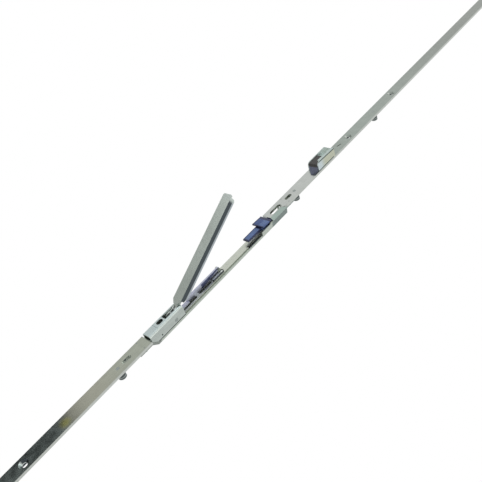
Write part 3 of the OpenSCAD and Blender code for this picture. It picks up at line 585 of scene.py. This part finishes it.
def copied(context, name, node_name):
    """Copy of a CAD node with its own merged mesh, open in edit mode with nothing selected."""
    node = frame["nodes"][node_name]
    piece = node.copy()
    piece.data = node.data.copy()
    piece.name = piece.data.name = name
    context.scene.collection.objects.link(piece)
    bpy.ops.object.select_all(action="DESELECT")
    piece.select_set(True)
    context.view_layer.objects.active = piece
    bpy.ops.object.mode_set(mode="EDIT")
    bpy.ops.mesh.select_mode(type="EDGE")
    bpy.ops.mesh.select_all(action="SELECT")
    bpy.ops.mesh.remove_doubles(threshold=MERGE)
    bpy.ops.mesh.dissolve_limited(angle_limit=FLAT_ANGLE)
    bpy.ops.mesh.select_all(action="DESELECT")
    return piece


def pick(piece, kind, test):
    """Selects the vertices or faces of a piece in edit mode whose vertices all pass a test."""
    bpy.ops.mesh.select_mode(type=kind)
    bpy.ops.mesh.select_all(action="DESELECT")
    bpy.ops.object.mode_set(mode="OBJECT")
    mesh = piece.data
    found = 0
    for item in mesh.vertices if kind == "VERT" else mesh.polygons:
        ends = [item.co] if kind == "VERT" else [mesh.vertices[i].co for i in item.vertices]
        item.select = all(test(co) for co in ends)
        found += item.select
    bpy.ops.object.mode_set(mode="EDIT")
    if not found:
        raise RuntimeError("nothing to shape on " + piece.name)


class CREMONE_OT_catch(bpy.types.Operator):
    """Rounds the edges of the moulded catch on a copy that stands for the CAD node"""

    bl_idname = "cremone.catch"
    bl_label = "Catch moulding"

    def execute(self, context):
        setup = context.scene.cremone_moulding
        piece = copied(context, "catch_moulding", "catch")
        bpy.ops.mesh.edges_select_sharp(sharpness=SHARP_ANGLE)
        bpy.ops.mesh.bevel(offset=setup.edge, segments=3, profile=0.5, clamp_overlap=True)
        bpy.ops.object.mode_set(mode="OBJECT")
        bpy.ops.object.shade_smooth_by_angle(angle=SMOOTH_ANGLE)
        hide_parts("catch")
        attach(piece, "catch")
        return {"FINISHED"}


class CREMONE_OT_bar(bpy.types.Operator):
    """Rounds the lug of the bar and widens its boss on a copy that stands for the CAD node"""

    bl_idname = "cremone.bar"
    bl_label = "Bar"

    def execute(self, context):
        setup = context.scene.cremone_moulding
        piece = copied(context, "bar_dressed", "upper_bar")
        for lean in LUG_LEANS:
            normal = Vector((0, -math.sin(math.radians(lean)), math.cos(math.radians(lean))))
            pick(piece, "FACE", lambda co: setup.lug_left - NEAR < co.x < setup.lug_right + NEAR
                 and co.y < setup.blade_y + NEAR and abs(co.z - setup.lug_z) < setup.lug_half + NEAR)
            bpy.ops.mesh.bisect(plane_co=Vector((0, setup.lug_y, setup.lug_z)) + setup.lug_round * normal,
                                plane_no=normal, clear_outer=True, use_fill=True)
        pick(piece, "VERT", lambda co: co.x > setup.boss_left and co.y < setup.blade_y - NEAR
             and setup.boss_low < co.z < setup.boss_high)
        bpy.ops.transform.resize(value=(setup.boss_wide, 1, 1), center_override=(setup.boss_x, 0, 0))
        bpy.ops.transform.translate(value=(setup.boss_move, 0, 0))
        bpy.ops.object.mode_set(mode="OBJECT")
        bpy.ops.object.shade_smooth_by_angle(angle=SMOOTH_ANGLE)
        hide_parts("upper_bar")
        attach(piece, "upper_drive")
        return {"FINISHED"}


class CREMONE_OT_stage(bpy.types.Operator):
    """Adds the camera, the white surroundings, the floor, the dark card and the soft lights"""

    bl_idname = "cremone.stage"
    bl_label = "Stage"

    def execute(self, context):
        setup = context.scene.cremone_stage
        scene = context.scene
        scene.view_settings.view_transform = "Standard"
        self.add_camera(scene)
        self.add_world(scene, setup)
        self.add_floor(setup)
        self.add_flag(setup)
        for name, place, size, power in (
                ("key_light", (0.3, -1.6, 1.2), 1.4, setup.key_power),
                ("fill_light", (1.7, -0.6, 0.2), 1.2, setup.fill_power)):
            lamp = bpy.data.lights.new(name, "AREA")
            lamp.size = size
            lamp.energy = power
            holder = bpy.data.objects.new(name, lamp)
            holder.location = place
            holder.rotation_euler = (-Vector(place)).to_track_quat("-Z", "Y").to_euler()
            scene.collection.objects.link(holder)
        return {"FINISHED"}

    def add_camera(self, scene):
        data = bpy.data.cameras.new("photo_camera")
        data.sensor_width = SENSOR_MM
        data.lens = FOCAL_PX / IMAGE_PX * SENSOR_MM
        data.shift_x = SHIFT_PX / IMAGE_PX
        data.clip_start = 0.01
        camera = bpy.data.objects.new("photo_camera", data)
        right, up, back = (0.7338, 0.2851, 0.6166), (-0.2284, -0.7513, 0.6192), (0.6399, -0.5952, -0.4862)
        turn = Matrix((right, up, back)).transposed().to_4x4()
        place = (0.4112, -0.3886, -0.3283)
        camera.matrix_world = Matrix.Translation(place) @ turn
        scene.collection.objects.link(camera)
        scene.camera = camera

    def add_world(self, scene, setup):
        world = bpy.data.worlds.new("white_studio")
        world.use_nodes = True
        scene.world = world
        tree = world.node_tree
        path = add_node(tree, "ShaderNodeLightPath").outputs
        mirror = add_node(tree, "ShaderNodeMath", {"operation": "MAXIMUM"},
                          {0: path["Is Glossy Ray"], 1: path["Is Transmission Ray"]})
        seen = add_node(tree, "ShaderNodeMath", {"operation": "MAXIMUM"},
                        {0: path["Is Camera Ray"], 1: mirror.outputs[0]})
        level = add_node(tree, "ShaderNodeMapRange", {"To Min": setup.world_level, "To Max": 1.0},
                         {"Value": seen.outputs[0]})
        back = tree.nodes["Background"]
        back.inputs["Color"].default_value = (1, 1, 1, 1)
        tree.links.new(level.outputs["Result"], back.inputs["Strength"])

    def add_floor(self, setup):
        floor = self.add_card("studio_floor", setup.floor_half, setup.floor_half)
        floor.location = (0, 0, setup.floor_z)
        paper = plain("pale_paper", (0.9, 0.9, 0.9))
        self.settle(floor, paper)
        tree = paper.node_tree
        path = add_node(tree, "ShaderNodeLightPath").outputs
        seen = add_node(tree, "ShaderNodeMath", {"operation": "MAXIMUM"},
                        {0: path["Is Camera Ray"], 1: path["Is Glossy Ray"]})
        # Most of the paper's white comes from the backlight, the rest keeps the shadow.
        share = add_node(tree, "ShaderNodeMath", {"operation": "MULTIPLY", 1: BACKLIGHT}, {0: seen.outputs[0]})
        glow = add_node(tree, "ShaderNodeEmission")
        mixed = add_node(tree, "ShaderNodeMixShader", {}, {0: share.outputs[0], 2: glow.outputs[0],
                                                           1: tree.nodes["Principled BSDF"].outputs[0]})
        tree.links.new(mixed.outputs[0], tree.nodes["Material Output"].inputs["Surface"])

    def add_flag(self, setup):
        """Dark card that the lower end of the strip mirrors, unseen by the camera itself."""
        height = setup.flag_high - setup.floor_z
        flag = self.add_card("dark_flag", FLAG_HALF, height / 2)
        flag.rotation_euler = (math.pi / 2, 0, FLAG_TURN)
        flag.location = (*FLAG_PLACE, setup.floor_z + height / 2)
        flag.visible_camera = False
        self.settle(flag, plain("dark_felt", (0.02, 0.021, 0.02)))

    def add_card(self, name, half_x, half_y):
        bpy.ops.object.select_all(action="DESELECT")
        bpy.ops.mesh.primitive_plane_add(size=2)
        card = bpy.context.active_object
        card.name = name
        card.scale = (half_x, half_y, 1)
        return card

    def settle(self, card, material):
        bpy.ops.object.transform_apply(location=True, rotation=True, scale=True)
        card.data.materials.append(material)


def plain(name, colour):
    """Matt studio material."""
    material, _, shader = blank(name)
    shader.inputs["Base Color"].default_value = (*colour, 1)
    shader.inputs["Roughness"].default_value = 0.9
    return material


class CREMONE_PT_panel(bpy.types.Panel):
    """Lists the steps that dress the bolt"""

    bl_idname = "CREMONE_PT_panel"
    bl_label = "Cremone bolt"
    bl_space_type = "VIEW_3D"
    bl_region_type = "UI"
    bl_category = "Cremone"

    def draw(self, context):
        for step in STEPS:
            self.layout.operator(step.bl_idname)


STEPS = (CREMONE_OT_finishes, CREMONE_OT_catch, CREMONE_OT_bar, CREMONE_OT_stage)
CLASSES = (CREMONE_PG_finishes, CREMONE_PG_moulding, CREMONE_PG_stage, *STEPS, CREMONE_PT_panel)


def register():
    for item in CLASSES:
        bpy.utils.register_class(item)
    bpy.types.Scene.cremone_finishes = bpy.props.PointerProperty(type=CREMONE_PG_finishes)
    bpy.types.Scene.cremone_moulding = bpy.props.PointerProperty(type=CREMONE_PG_moulding)
    bpy.types.Scene.cremone_stage = bpy.props.PointerProperty(type=CREMONE_PG_stage)


def unregister():
    del bpy.types.Scene.cremone_stage
    del bpy.types.Scene.cremone_moulding
    del bpy.types.Scene.cremone_finishes
    for item in reversed(CLASSES):
        bpy.utils.unregister_class(item)


def main():
    register()
    bpy.ops.cremone.finishes()
    bpy.ops.cremone.catch()
    bpy.ops.cremone.bar()
    bpy.ops.cremone.stage()


if __name__ == "__main__":
    main()
